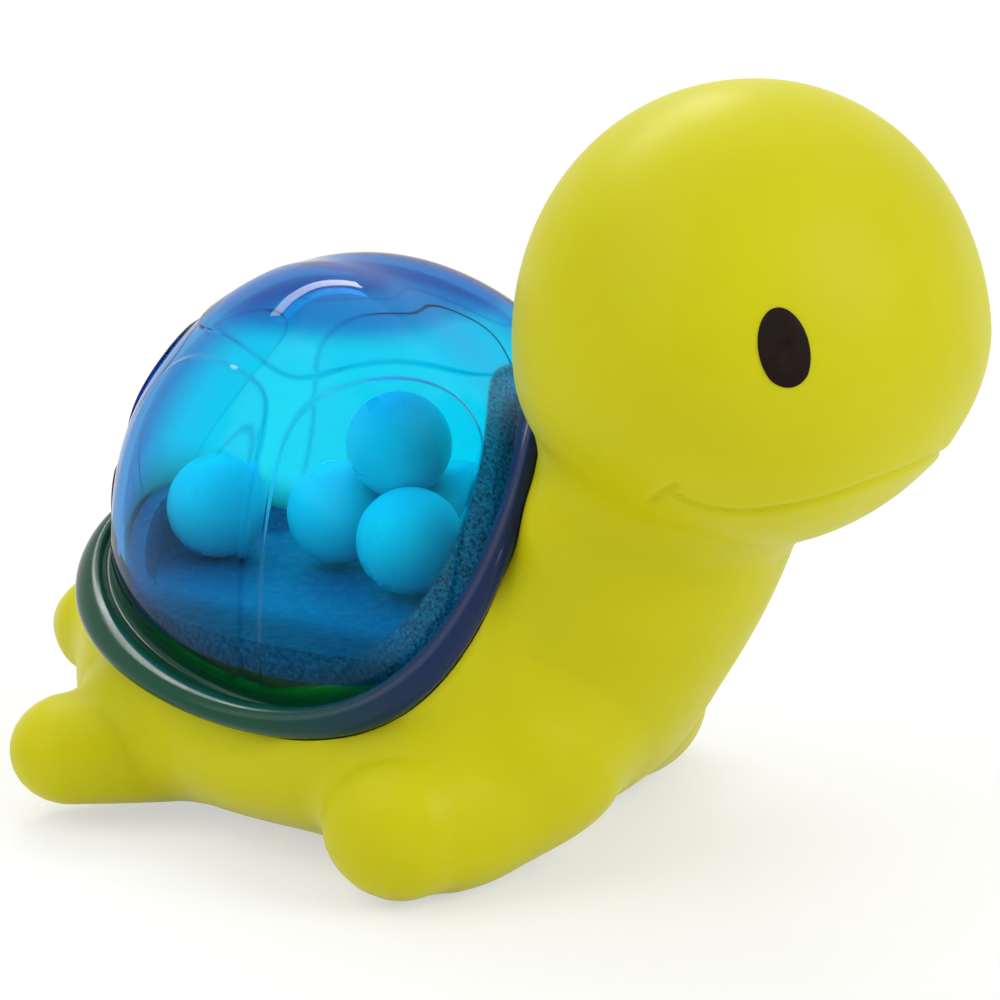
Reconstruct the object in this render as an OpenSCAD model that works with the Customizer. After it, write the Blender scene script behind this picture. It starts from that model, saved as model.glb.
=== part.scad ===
// Squeaky bath toy: a hollow vinyl turtle with a clear rattle shell.
// Origin: on the ground, in the middle of the belly's flat. +X is the way the
// nose points, +Y is the toy's left and +Z is up. Millimetres.

/* [Trunk] */
// Length from the tail's tip to the middle of the head, along the ground
trunk_l = 112; // [100:1:125]
// Full width of the trunk at its widest place
trunk_w = 72; // [66:1:78]
// Depth of the trunk, the unit of the trunk's section heights
trunk_d = 28; // [26:0.5:30]
// Wall of the moulded vinyl skin
skin_t = 2; // [1.4:0.1:2.6]

/* [Head] */
// Height of the middle of the head above the ground
head_z = 68; // [62:1:74]
// Half length of the head, back to nose
head_rx = 27.9; // [25:0.1:30]
// Half width of the head
head_ry = 31.7; // [29:0.1:34]
// Height of the head above its middle
head_up = 32.1; // [29:0.1:35]
// Height of the head below its middle, down to the chin
head_dn = 24.5; // [23:0.1:27]
// Backward tilt of the head, in degrees
head_tilt = 8; // [0:0.1:12]

/* [Eyes] */
// Width of the printed eye
eye_w = 6.3; // [5:0.1:9]
// Height of the printed eye
eye_h = 9.3; // [8:0.1:12]
// Thickness of the eye's ink pad
eye_t = 0.3; // [0.2:0.05:0.5]
// Turn of the eye's middle from the nose line, in degrees
eye_turn = 49; // [40:1:56]
// Lean of the top of the eye towards the back of the head, in degrees
eye_lean = 6; // [0:1:12]

/* [Flippers] */
// Width of a front flipper near its root
fore_w = 27; // [24:0.5:30]
// Thickness of a front flipper near its root
fore_t = 22.6; // [20:0.2:25]
// How far the left front flipper lies behind the right one
fore_stagger = 5; // [0:0.5:7]
// Width of a rear flipper near its root
hind_w = 22; // [19:0.5:25]
// Thickness of a rear flipper near its root
hind_t = 18.4; // [16:0.2:21]

/* [Shell] */
// Half length of the egg that the dome is cut from
egg_a = 41; // [38:0.5:44]
// Half width of the egg
egg_b = 32.5; // [30:0.5:35]
// Height of the egg above its middle
egg_h = 46.5; // [43:0.5:49]
// Nose-up tilt of the egg, in degrees
egg_tilt = 35; // [32:0.5:38]
// Wall of the clear dome
dome_t = 1.6; // [1.2:0.1:2.2]
// Radius of the rolled bead round the rim
bead_r = 2.3; // [1.8:0.1:2.8]
// Width from the dome's wall to the middle of the bead
flange_w = 3.7; // [3.4:0.1:4.2]

/* [Tray] */
// Height of the tray's floor above the ground
floor_z = 29; // [27.5:0.5:30]
// Wall of the tray
tray_t = 1.5; // [1.2:0.1:2]
// Lean of the tray's front wall from upright, in degrees
front_lean = 8; // [5:1:11]

/* [Rattle balls] */
// Diameter of a rattle ball
ball_d = 14.2; // [12:0.1:14.6]

/* [Squeaker] */
// Diameter of the squeaker's barrel
barrel_d = 12; // [10:0.5:13]
// Length of the barrel inside the skin
barrel_l = 9; // [8:0.5:10]
// Wall of the barrel
barrel_t = 1.2; // [1:0.1:1.5]
// Diameter of the squeaker's flanges
barrel_flange_d = 16; // [14.5:0.5:18]
// Thickness of each flange
barrel_flange_t = 1; // [0.8:0.1:1.2]
// Distance from the origin back to the squeaker
squeaker_x = 17; // [14:0.5:19]
// Width of the reed
reed_w = 3; // [2:0.1:3.5]
// Thickness of the reed
reed_t = 0.2; // [0.15:0.05:0.3]
// Length of the reed that is free to flutter
reed_free_l = 5.4; // [4.5:0.1:5.8]

/* [Clearances] */
// Gap between the dome and what it sits on
seat_gap = 0.2; // [0.1:0.05:0.4]
// Gap round a loose ball at rest
ball_gap = 0.3; // [0.2:0.05:0.5]

/* [Hidden] */

vinyl = [0.80, 0.80, 0.18];
clear_blue = [0.10, 0.62, 0.88, 0.45];
tray_blue = [0.05, 0.30, 0.60];
ball_blue = [0.10, 0.72, 0.92];
ink = [0.12, 0.07, 0.05];
white_plastic = [0.93, 0.93, 0.90];
brass = [0.80, 0.65, 0.30];

// Sides of the round sections
trunk_sides = 36;
limb_sides = 18;
shell_sides = 56;
lining_sides = 20;

// Unit vector helpers
function unit(v) = v / norm(v);
// Signed power, for rounded sections
function spow(v, p) = sign(v) * pow(abs(v), p);
// Smooth curve through four neighbours
function curve4(a, b, c, d, t) =
  (2 * b + (c - a) * t + (2 * a - 5 * b + 4 * c - d) * t * t
    + (3 * b - a - 3 * c + d) * t * t * t) / 2;
// Rows of a table with smooth rows added between them
function smooth(rows, steps) = let (n = len(rows) - 1)
  [for (i = [0:n - 1], j = [0:steps - 1])
    curve4(rows[max(i - 1, 0)], rows[i], rows[i + 1], rows[min(i + 2, n)], j / steps),
   rows[n]];

// Middle point of a ring, and a list turned round
function ring_mean(ring) = [for (k = [0:2]) [for (p = ring) p[k]] * [for (p = ring) 1] / len(ring)];
function reversed(v) = [for (i = [len(v) - 1:-1:0]) v[i]];

// Closed solid of rings between two single end points. The rings run
// counterclockwise seen from the last point.
module capped(first, rings, last) {
  n = len(rings[0]);
  m = len(rings);
  side_faces = [for (j = [0:m - 2], i = [0:n - 1])
    let (k = (i + 1) % n, low = 1 + j * n, high = low + n)
    each [[low + i, high + k, low + k], [low + i, high + i, high + k]]];
  first_faces = [for (i = [0:n - 1]) [0, 1 + i, 1 + (i + 1) % n]];
  top = 1 + (m - 1) * n;
  last_faces = [for (i = [0:n - 1]) [top + n, top + (i + 1) % n, top + i]];
  polyhedron(concat([first], [for (r = rings) each r], [last]),
    concat(first_faces, side_faces, last_faces), convexity = 10);
}
module closed(rings) {
  capped(ring_mean(rings[0]), rings, ring_mean(rings[len(rings) - 1]));
}

// Trunk sections from tail to neck. Each row has shares: place along trunk_l,
// height as a share of head_z, lean of the section in turns of 90 degrees,
// half width of trunk_w, height above and below the middle of trunk_d, and
// the roundness of the section.
trunk_shares = [
  [-0.478, 0.215, 1.00, 0.015, 0.04, 0.04, 2.0],
  [-0.467, 0.215, 1.00, 0.050, 0.13, 0.13, 2.0],
  [-0.435, 0.215, 1.00, 0.092, 0.24, 0.23, 2.0],
  [-0.395, 0.215, 1.00, 0.120, 0.28, 0.27, 2.0],
  [-0.345, 0.212, 1.00, 0.190, 0.40, 0.36, 2.1],
  [-0.295, 0.21, 1.00, 0.285, 0.52, 0.44, 2.2],
  [-0.215, 0.21, 1.00, 0.375, 0.52, 0.52, 2.3],
  [-0.065, 0.21, 1.00, 0.465, 0.46, 0.55, 2.3],
  [ 0.080, 0.23, 1.02, 0.500, 0.40, 0.595, 2.3],
  [ 0.195, 0.30, 1.13, 0.490, 0.38, 0.79, 2.25],
  [ 0.285, 0.41, 1.31, 0.370, 0.42, 0.805, 2.15],
  [ 0.350, 0.54, 1.50, 0.305, 0.36, 0.72, 2.0],
  [ 0.385, 0.67, 1.72, 0.310, 0.36, 0.705, 2.0],
  [ 0.420, 0.79, 1.87, 0.300, 0.38, 0.66, 2.0],
  [ 0.450, 0.92, 1.94, 0.280, 0.45, 0.59, 2.0]
];
quarter = 90;
// One section, drawn in by the inset of its surface
function trunk_ring(s, sides, inset) =
  let (x = s[0] * trunk_l, z = s[1] * head_z, lean = s[2] * quarter,
       w = max(s[3] * trunk_w - inset, skin_t / 4))
  [for (i = [0:sides - 1]) let (u = 360 * i / sides,
      d = max((sin(u) > 0 ? s[4] : s[5]) * trunk_d - inset, skin_t / 4),
      h = d * spow(sin(u), 2 / s[6]))
    [x + h * cos(lean), w * spow(cos(u), 2 / s[6]), z + h * sin(lean)]];
module trunk(sides, steps, inset, first_row) {
  rows = [for (i = [first_row:len(trunk_shares) - 1]) trunk_shares[i]];
  closed([for (s = smooth(rows, steps)) trunk_ring(s, sides, inset)]);
}

// Head: an egg with a fuller crown and a slightly tapered chin
head_x_share = 0.528;
crown_round = 2.06;
chin_round = 1.85;
head_c = [head_x_share * trunk_l, 0, head_z];
function head_turned(v) =
  [v[0] * cos(head_tilt) - v[2] * sin(head_tilt), v[1],
   v[0] * sin(head_tilt) + v[2] * cos(head_tilt)];
// Point on the head at a turn from the nose and a share k of its height
function head_point(turn, k, grow) =
  let (n = k > 0 ? crown_round : chin_round, r = pow(max(1 - pow(abs(k), n), 0), 1 / n))
  head_c + head_turned([(head_rx + grow) * r * cos(turn), (head_ry + grow) * r * sin(turn),
                        ((k > 0 ? head_up : head_dn) + grow) * k]);
module head(sides, levels, grow) {
  capped(head_point(0, -1, grow),
    [for (j = [1:levels - 1]) let (k = sin(-quarter + 2 * quarter * j / levels))
      [for (i = [0:sides - 1]) head_point(360 * i / sides, k, grow)]],
    head_point(0, 1, grow));
}

// Flippers. Each row has shares: place along trunk_l, place across trunk_w,
// height of head_z, half width and half thickness of the root's own.
fore_shares = [
  [0.237, 0.077, 0.310, 0.555, 0.64],
  [0.275, 0.214, 0.237, 0.68, 0.695],
  [0.277, 0.33, 0.155, 0.475, 0.485],
  [0.262, 0.434, 0.148, 0.38, 0.44]
];
hind_shares = [
  [-0.035, 0.18, 0.165, 0.50, 0.50],
  [-0.140, 0.345, 0.150, 0.44, 0.45],
  [-0.212, 0.448, 0.138, 0.38, 0.40]
];
// Ring across a limb's path, wider than it is thick
function limb_ring(c, dir, w, t, sides) =
  let (across = unit(cross([0, 0, 1], dir)), up = cross(dir, across))
  [for (i = [0:sides - 1]) let (u = 360 * i / sides)
    c + across * w * cos(u) + up * t * sin(u)];
module limb(shares, width, thick, sides, steps, inset) {
  rows = smooth([for (s = shares)
    [s[0] * trunk_l, s[1] * trunk_w, s[2] * head_z, s[3] * width - inset, s[4] * thick - inset]], steps);
  n = len(rows) - 1;
  function mid(i) = [rows[i][0], rows[i][1], rows[i][2]];
  function dir(i) = unit(mid(min(i + 1, n)) - mid(max(i - 1, 0)));
  // Round end at row i, out by the sine of the turn
  function end_ring(i, a) =
    limb_ring(mid(i) + dir(i) * rows[i][3] * sin(a), dir(i),
      rows[i][3] * cos(a), rows[i][4] * cos(a), sides);
  capped(mid(0) - dir(0) * rows[0][3],
    concat([for (a = [-quarter * 2 / 3, -quarter / 3]) end_ring(0, a)],
      [for (i = [0:n]) limb_ring(mid(i), dir(i), rows[i][3], rows[i][4], sides)],
      [for (a = [quarter / 4, quarter / 2, quarter * 3 / 4]) end_ring(n, a)]),
    mid(n) + dir(n) * rows[n][3]);
}
module limbs(sides, steps, inset) {
  for (side = [0, 1]) mirror([0, side, 0]) {
    translate([(side - 1) * fore_stagger, 0, 0])
      limb(fore_shares, fore_w, fore_t, sides, steps, inset);
    limb(hind_shares, hind_w, hind_t, sides, steps, inset);
  }
}

// The shell is one egg, tilted nose up and cut along a wavy rim that dips at
// the flippers and rises behind the neck.
egg_c = [0.078 * trunk_l, 0, 0.42 * head_z];
egg_round = 2.2;
// Heights of the rim as shares of egg_h: mean, and one, two and three waves
rim_shares = [0.127, -0.282, 0.323, 0.084];
// Narrowing of the egg below its middle, and the hollow behind the neck
egg_tuck_share = 0.35;
neck_hollow_share = 0.22;
neck_hollow_power = 10;
egg_fore = [cos(egg_tilt), 0, sin(egg_tilt)];
egg_up = [-sin(egg_tilt), 0, cos(egg_tilt)];
function rim_h(a) = egg_h * (rim_shares[0] + rim_shares[1] * cos(a)
  + rim_shares[2] * cos(2 * a) + rim_shares[3] * cos(3 * a));
// Share of the egg's radius at a height, for an egg grown by an offset
function egg_r(h, grow) = let (k = abs(h) / (egg_h + grow))
  h > 0 ? pow(max(1 - pow(k, egg_round), 0), 1 / egg_round) : 1 - egg_tuck_share * k * k;
// Point at a turn and a height, on the egg grown by an offset, moved out by out
function egg_point(a, h, grow, out = 0) =
  let (r = egg_r(h, grow) * (1 - neck_hollow_share * pow((1 + cos(a)) / 2, neck_hollow_power)))
  egg_c + egg_fore * ((egg_a + grow) * r + out) * cos(a)
    + [0, ((egg_b + grow) * r + out) * sin(a), 0] + egg_up * h;
// Rings from a height above the rim up to near the top of the grown egg
function egg_rings(lift, grow, levels, sides) =
  [for (j = [0:levels - 1])
    [for (i = [0:sides - 1]) let (a = 360 * i / sides, low = rim_h(a) + lift,
        h = low + (egg_h + grow - low) * sin(quarter * j / levels))
      egg_point(a, h, grow)]];
function egg_top(grow) = egg_c + egg_up * (egg_h + grow);

// Dome: wall, channel and rolled bead in one piece. The profile's rows are
// out from the wall and lift from the rim, as shares of the named size.
flange_t = dome_t;
channel_w = flange_w - bead_r;
bead_turns = [-130, -90, -45, 0, 45, 90, 135, 165];
foot_profile = concat(
  [[-dome_t, -flange_t], [channel_w, -flange_t]],
  [for (b = bead_turns) [flange_w + bead_r * cos(b), bead_r * sin(b)]],
  [[0.7 * channel_w, 0], [0.15 * channel_w, 0.3 * bead_r]]);
function profile_ring(p, sides) =
  [for (i = [0:sides - 1]) let (a = 360 * i / sides) egg_point(a, rim_h(a) + p[1], 0, p[0])];
dome_levels = 7;
module shell_dome() color(clear_blue) {
  capped(egg_top(-dome_t),
    concat(reversed(egg_rings(0, -dome_t, dome_levels, shell_sides)),
      [for (p = foot_profile) profile_ring(p, shell_sides)],
      egg_rings(bead_r / 2, 0, dome_levels, shell_sides)),
    egg_top(0));
}

// Room that the shell takes out of the skin, with its clearance and a growth
module shell_room(grow) {
  gap = seat_gap + grow;
  rings = concat(
    [for (o = [-dome_t, channel_w]) profile_ring([o, -flange_t - gap], shell_sides)],
    [for (b = bead_turns) if (b <= quarter)
      profile_ring([flange_w + (b > 0 ? max((bead_r + gap) * cos(b), grow) : (bead_r + gap) * cos(b)),
        (bead_r + gap) * sin(b)], shell_sides)],
    [profile_ring([flange_w + grow, 3 * bead_r + gap], shell_sides)],
    egg_rings(3.2 * bead_r + gap, gap, ceil(dome_levels / 2), shell_sides));
  capped(ring_mean(rings[0]), rings, egg_top(gap));
}

// Vinyl seat under the rim: it spreads up and out of the trunk to the bead
seat_shares = [[-3.2, -8.0], [-1.2, -5.0], [0.4, -2.6], [0.95, -1.1], [0.5, 0]];
module seat() {
  closed([for (s = seat_shares) profile_ring([s[0] * flange_w, s[1] * bead_r], shell_sides)]);
}

// Tray: a raised floor whose edge turns up into a leaning front wall under the
// rim, and down into a skirt that stands on the vinyl ledge with the dome.
skirt_t = 0.8 * tray_t;
lip_w = 1.75 * tray_t;
lip_h = 0.8 * tray_t;
wall_gap = dome_t + seat_gap;
// Height on the egg at which the dome's inner wall meets the floor
function floor_h(a, h, tries) = tries == 0 ? h :
  floor_h(a, h + (floor_z - egg_point(a, h, -wall_gap)[2]) / egg_up[2], tries - 1);
function top_edge(a) = egg_point(a, max(floor_h(a, 0, 8), rim_h(a) + lip_h), -wall_gap);
function foot_edge(a) = egg_point(a, rim_h(a) - flange_t, 0, -wall_gap);
tray_c = [0, 0, floor_z];
// Point moved level towards the middle of the tray
function drawn(p, d) = p - d * unit([p[0], p[1], 0]);
function at_height(p, z) = [p[0], p[1], z];
function wall_foot(a) = let (p = top_edge(a))
  at_height(drawn(p, lip_w + lip_h / 2 + (p[2] - floor_z) * tan(front_lean)), floor_z);
module shell_tray() color(tray_blue) {
  turns = [for (i = [0:shell_sides - 1]) 360 * i / shell_sides];
  capped(tray_c - [0, 0, tray_t], [
    [for (a = turns) at_height(drawn(wall_foot(a), -1.2 * tray_t), floor_z - tray_t)],
    [for (a = turns) drawn(foot_edge(a), skirt_t)],
    [for (a = turns) foot_edge(a)],
    [for (a = turns) top_edge(a)],
    [for (a = turns) drawn(top_edge(a), lip_w)],
    [for (a = turns) wall_foot(a)]], tray_c);
}
// Opening in the skin inside the ledge, which the tray closes
open_in = wall_gap + skirt_t - seat_gap;
module opening() {
  edge = profile_ring([-open_in, -flange_t], shell_sides);
  closed([
    [for (p = edge) at_height(p, min(p[2] - 3 * skin_t, floor_z - tray_t - 2 * skin_t))],
    [for (p = edge) at_height(p, p[2] + bead_r)]]);
}

// Squeaker: a barrel in a boss in the belly, with a reed on a trough
boss_h = 3.2;
boss_d = barrel_flange_d + 2 * skin_t;
flange_z = 0.4;
fit_gap = 0.1;
module at_squeaker() { translate([-squeaker_x, 0, 0]) children(); }
module squeaker_hole() at_squeaker() {
  translate([0, 0, -boss_h])
    cylinder(d = barrel_flange_d + 2 * seat_gap, h = boss_h + flange_z + barrel_flange_t, $fn = 64);
  cylinder(d = barrel_d + 2 * fit_gap, h = 2 * boss_h, $fn = 64);
}

// Skin: outer form less its lining, the shell's room and the openings
module skin_form(sides, steps, limb_n, inset, first_row) {
  trunk(sides, steps, inset, first_row);
  head(sides, sides / 2, -inset);
  limbs(limb_n, steps, inset);
}
reach = 3 * trunk_l;
module body_skin() color(vinyl) difference() {
  union() {
    skin_form(trunk_sides, 2, limb_sides, 0, 0);
    seat();
  }
  difference() {
    skin_form(lining_sides, 1, lining_sides / 2, skin_t, 2);
    shell_room(skin_t);
    at_squeaker() translate([0, 0, -boss_h]) cylinder(d = boss_d, h = 2 * boss_h, $fn = 64);
    translate([-reach, -reach, -reach]) cube([2 * reach, 2 * reach, reach + skin_t]);
  }
  shell_room(0);
  opening();
  squeaker_hole();
  translate([-reach, -reach, -2 * reach]) cube([2 * reach, 2 * reach, 2 * reach]);
}

// Eyes: thin oval ink pads that follow the head
eye_k = 0.115;
eye_rings = 3;
eye_sides = 20;
eye_lift = 0.05;
function eye_point(share, u, grow) =
  let (across = share * eye_w / 2 * cos(u), along = share * eye_h / 2 * sin(u),
       s = across * cos(eye_lean) + along * sin(eye_lean),
       t = along * cos(eye_lean) - across * sin(eye_lean))
  head_point(eye_turn + s / head_rx * (180 / PI), eye_k + t / head_up, grow);
module eye(side) mirror([0, side, 0]) {
  face = [for (j = [1:eye_rings]) [for (i = [0:eye_sides - 1])
    eye_point(j / eye_rings, 360 * i / eye_sides, eye_lift)]];
  top = [for (j = [eye_rings:-1:1]) [for (i = [0:eye_sides - 1])
    eye_point(j / eye_rings, 360 * i / eye_sides,
      eye_lift + eye_t * sqrt(1 - pow(j / eye_rings, 8) / 2))]];
  capped(eye_point(0, 0, eye_lift), concat(face, top), eye_point(0, 0, eye_lift + eye_t));
}
module eye_left() color(ink) eye(0);
module eye_right() color(ink) eye(1);

// Rattle balls: three on the floor, one in the hollow between them, and one
// at the back. Rows are places along the tray's floor, as shares of its length
// from the rear wall, and across it in balls.
ball_shares = [[0.477, 0.26], [0.822, -0.20], [0.745, 0.94], [0.147, -0.20]];
ball_z = floor_z + ball_gap + ball_d / 2;
floor_rear = wall_foot(2 * quarter)[0];
floor_l = wall_foot(0)[0] - floor_rear;
function floor_ball(i) = [floor_rear + ball_shares[i][0] * floor_l, ball_shares[i][1] * ball_d, ball_z];
function cross2(a, b) = a[0] * b[1] - a[1] * b[0];
// Middle of the circle through three floor balls
function pile_middle(a, b, c) =
  let (u = b - a, v = c - a, k = 2 * cross2(u, v), uu = u * u, vv = v * v)
  a + [(v[1] * uu - u[1] * vv) / k, (u[0] * vv - v[0] * uu) / k, 0];
pile_c = pile_middle(floor_ball(0), floor_ball(1), floor_ball(2));
pile_rise = sqrt(pow(ball_d + ball_gap, 2) - pow(norm(pile_c - floor_ball(0)), 2));
module ball(at) { translate(at) sphere(d = ball_d, $fn = 64); }
module rattle_ball_1() color(ball_blue) ball(floor_ball(0));
module rattle_ball_2() color(ball_blue) ball(floor_ball(1));
module rattle_ball_3() color(ball_blue) ball(floor_ball(2));
module rattle_ball_4() color(ball_blue) ball(pile_c + [0, 0, pile_rise]);
module rattle_ball_5() color(ball_blue) ball(floor_ball(3));

// Squeaker parts
bore_d = barrel_d - 2 * barrel_t;
snap_w = 0.8;
barrel_z = flange_z;
reed_gap = 0.25;
cap_t = 1.2;
module squeaker_barrel() color(white_plastic) at_squeaker() translate([0, 0, barrel_z]) difference() {
  union() {
    cylinder(d = barrel_d, h = barrel_l, $fn = 64);
    cylinder(d = barrel_flange_d, h = barrel_flange_t, $fn = 64);
    translate([0, 0, boss_h - flange_z + seat_gap])
      cylinder(d = barrel_d + 2 * snap_w, h = barrel_flange_t, $fn = 64);
  }
  translate([0, 0, barrel_t]) cylinder(d = bore_d, h = barrel_l, $fn = 64);
  translate([0, 0, -barrel_t]) cylinder(d = bore_d / 3, h = barrel_l, $fn = 64);
}
trough_z = barrel_z + barrel_t;
trough_h = barrel_l - barrel_t - cap_t;
trough_d = bore_d - 2 * fit_gap;
channel_d = reed_w * 0.7;
module half_round(side, from_plane, h) intersection() {
  cylinder(d = trough_d, h = h, $fn = 64);
  translate([-bore_d, side > 0 ? from_plane : -from_plane - bore_d, 0]) cube([2 * bore_d, bore_d, h]);
}
tail_l = trough_h - reed_free_l;
module squeaker_trough() color(white_plastic) at_squeaker() translate([0, 0, trough_z]) difference() {
  half_round(1, reed_t / 2 + reed_gap / 4, trough_h);
  translate([-channel_d / 2, -bore_d / 2, -trough_h]) cube([channel_d, bore_d, trough_h + reed_free_l]);
}
module squeaker_reed() color(brass) at_squeaker()
  translate([-reed_w / 2, -reed_t / 2, trough_z + reed_gap])
    cube([reed_w, reed_t, trough_h - 2 * reed_gap]);
module squeaker_cap() color(white_plastic) at_squeaker() translate([0, 0, trough_z]) difference() {
  union() {
    translate([0, 0, trough_h - tail_l]) half_round(-1, reed_t / 2 + reed_gap, tail_l);
    translate([0, 0, trough_h]) cylinder(d = bore_d - 2 * fit_gap, h = cap_t, $fn = 64);
  }
  translate([0, -bore_d / 4, -trough_h]) cylinder(d = bore_d / 5, h = 3 * trough_h, $fn = 32);
}

body_skin();
eye_right();
eye_left();
shell_dome();
shell_tray();
rattle_ball_1();
rattle_ball_2();
rattle_ball_3();
rattle_ball_4();
rattle_ball_5();
squeaker_barrel();
squeaker_trough();
squeaker_reed();
squeaker_cap();
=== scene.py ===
import math
import bmesh
import bpy
import numpy as np
from mathutils import Matrix, Vector
from mathutils.kdtree import KDTree


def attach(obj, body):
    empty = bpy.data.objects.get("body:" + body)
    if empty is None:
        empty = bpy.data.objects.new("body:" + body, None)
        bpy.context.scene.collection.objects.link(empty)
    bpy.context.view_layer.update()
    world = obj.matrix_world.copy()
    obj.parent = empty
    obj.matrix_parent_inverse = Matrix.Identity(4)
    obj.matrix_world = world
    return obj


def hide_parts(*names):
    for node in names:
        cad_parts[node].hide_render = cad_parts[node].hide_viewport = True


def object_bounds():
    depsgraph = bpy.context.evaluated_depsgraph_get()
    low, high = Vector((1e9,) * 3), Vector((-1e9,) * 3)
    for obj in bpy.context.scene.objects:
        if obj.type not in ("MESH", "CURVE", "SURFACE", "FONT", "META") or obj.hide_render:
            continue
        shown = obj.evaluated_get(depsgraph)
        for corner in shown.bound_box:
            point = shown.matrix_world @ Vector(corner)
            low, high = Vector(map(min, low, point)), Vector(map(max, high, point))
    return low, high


# Squeaky bath toy: a soft vinyl turtle with a clear rattle shell. The frame is
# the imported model's: +X is the way the nose points, +Y the toy's left, +Z up.
# The forms repeat the design's formulas in millimetres, at a finer resolution,
# and become metres when a mesh is made.

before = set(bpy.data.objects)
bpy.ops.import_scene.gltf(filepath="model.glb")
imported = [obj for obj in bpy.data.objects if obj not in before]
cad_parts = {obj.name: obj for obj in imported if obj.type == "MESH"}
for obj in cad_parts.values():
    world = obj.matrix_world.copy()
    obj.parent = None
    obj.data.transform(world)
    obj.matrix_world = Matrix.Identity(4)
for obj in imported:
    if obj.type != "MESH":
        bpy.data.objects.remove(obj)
cad_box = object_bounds()
ROOT = "turtle"
MM = 0.001
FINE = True

# Sizes in mm
TRUNK_L, TRUNK_W, TRUNK_D = 112.0, 72.0, 28.0
HEAD_Z, HEAD_RX, HEAD_RY, HEAD_UP, HEAD_DN = 68.0, 27.9, 31.7, 32.1, 24.5
HEAD_TILT = math.radians(8)
HEAD_C = np.array([0.528 * TRUNK_L, 0.0, HEAD_Z])
CROWN_ROUND, CHIN_ROUND = 2.06, 1.85
FORE_W, FORE_T, HIND_W, HIND_T = 27.0, 22.6, 22.0, 18.4
EGG_A, EGG_B, EGG_H, EGG_ROUND, EGG_TUCK = 41.0, 32.5, 46.5, 2.2, 0.35
EGG_TILT = math.radians(35)
EGG_C = np.array([0.078 * TRUNK_L, 0.0, 0.42 * HEAD_Z])
EGG_FORE = np.array([math.cos(EGG_TILT), 0.0, math.sin(EGG_TILT)])
EGG_UP = np.array([-math.sin(EGG_TILT), 0.0, math.cos(EGG_TILT)])
RIM_WAVES = [0.127, -0.282, 0.323, 0.084]
NECK_HOLLOW, NECK_HOLLOW_POWER = 0.22, 10
DOME_T, BEAD_R, FLANGE_W = 1.6, 2.3, 3.7
CHANNEL_W = FLANGE_W - BEAD_R
SCUTE_H, SCUTE_EDGE = 0.38, 0.6
FLOOR_Z, TRAY_T = 29.0, 1.5
FRONT_LEAN = math.radians(8)
SEAT_GAP = 0.2
WALL_GAP = DOME_T + SEAT_GAP
SKIRT_T, LIP_W, LIP_H = 0.8 * TRAY_T, 1.75 * TRAY_T, 0.8 * TRAY_T
COLLAR_SHARE = 0.55
# Angles at which the bead's round starts and ends, on the dome and in its seat, and
# the number of points on each
BEAD_FROM, BEAD_TO, SEAT_TO = -130, 165, 90
BEAD_POINTS, SEAT_POINTS = 28, 16
# Squeaker's bores: widths of its barrel and flange with their play, and their heights
BARREL_D, BARREL_FLANGE_D, SQUEAKER_X = 12.0, 16.0, -17.0
BARREL_ROOM, FLANGE_ROOM = 0.2, 0.4
BORE_FROM, FLANGE_TOP, BARREL_TOP = -3, 1.4, 14
EYE_W, EYE_H, EYE_TURN, EYE_K = 5.6, 9.5, 49.1, 0.100
EYE_LEAN = math.radians(6)

# Rows from tail to neck: place along TRUNK_L, height of HEAD_Z, lean in right
# angles, half width of TRUNK_W, height above and below of TRUNK_D, roundness
TRUNK_SHARES = np.array([
    [-0.478, 0.215, 1.00, 0.015, 0.04, 0.04, 2.0],
    [-0.467, 0.215, 1.00, 0.050, 0.13, 0.13, 2.0],
    [-0.435, 0.215, 1.00, 0.092, 0.24, 0.23, 2.0],
    [-0.395, 0.215, 1.00, 0.120, 0.28, 0.27, 2.0],
    [-0.345, 0.212, 1.00, 0.190, 0.40, 0.36, 2.1],
    [-0.295, 0.21, 1.00, 0.285, 0.52, 0.44, 2.2],
    [-0.215, 0.21, 1.00, 0.375, 0.52, 0.52, 2.3],
    [-0.065, 0.21, 1.00, 0.465, 0.46, 0.55, 2.3],
    [0.080, 0.23, 1.02, 0.500, 0.40, 0.595, 2.3],
    [0.195, 0.30, 1.13, 0.490, 0.38, 0.79, 2.25],
    [0.285, 0.41, 1.31, 0.370, 0.42, 0.805, 2.15],
    [0.350, 0.54, 1.50, 0.305, 0.36, 0.72, 2.0],
    [0.385, 0.67, 1.72, 0.310, 0.36, 0.705, 2.0],
    [0.420, 0.79, 1.87, 0.300, 0.38, 0.66, 2.0],
    [0.450, 0.92, 1.94, 0.280, 0.45, 0.59, 2.0]])
# Rows of a flipper: place along and across, height, half width and thickness
FORE_SHARES = np.array([
    [0.237, 0.077, 0.310, 0.555, 0.64], [0.275, 0.214, 0.237, 0.68, 0.695],
    [0.277, 0.33, 0.168, 0.475, 0.53], [0.262, 0.434, 0.148, 0.38, 0.44]])
FORE_STAGGER = 5.0
HIND_SHARES = np.array([
    [-0.035, 0.18, 0.165, 0.50, 0.50], [-0.140, 0.345, 0.150, 0.44, 0.45],
    [-0.212, 0.448, 0.138, 0.38, 0.40]])
# Rows of the vinyl seat under the rim: out from the wall and lift from the rim
SEAT_SHARES = [[-3.2, -8.0], [-1.2, -5.0], [0.4, -2.6], [0.95, -1.1], [0.5, 0]]
# Rows of the groove beside the bead: shares of CHANNEL_W and BEAD_R
GROOVE_SHARES = [[0.85, 0.12], [0.55, 0], [0.25, 0.12], [0.06, 0.3]]


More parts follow.
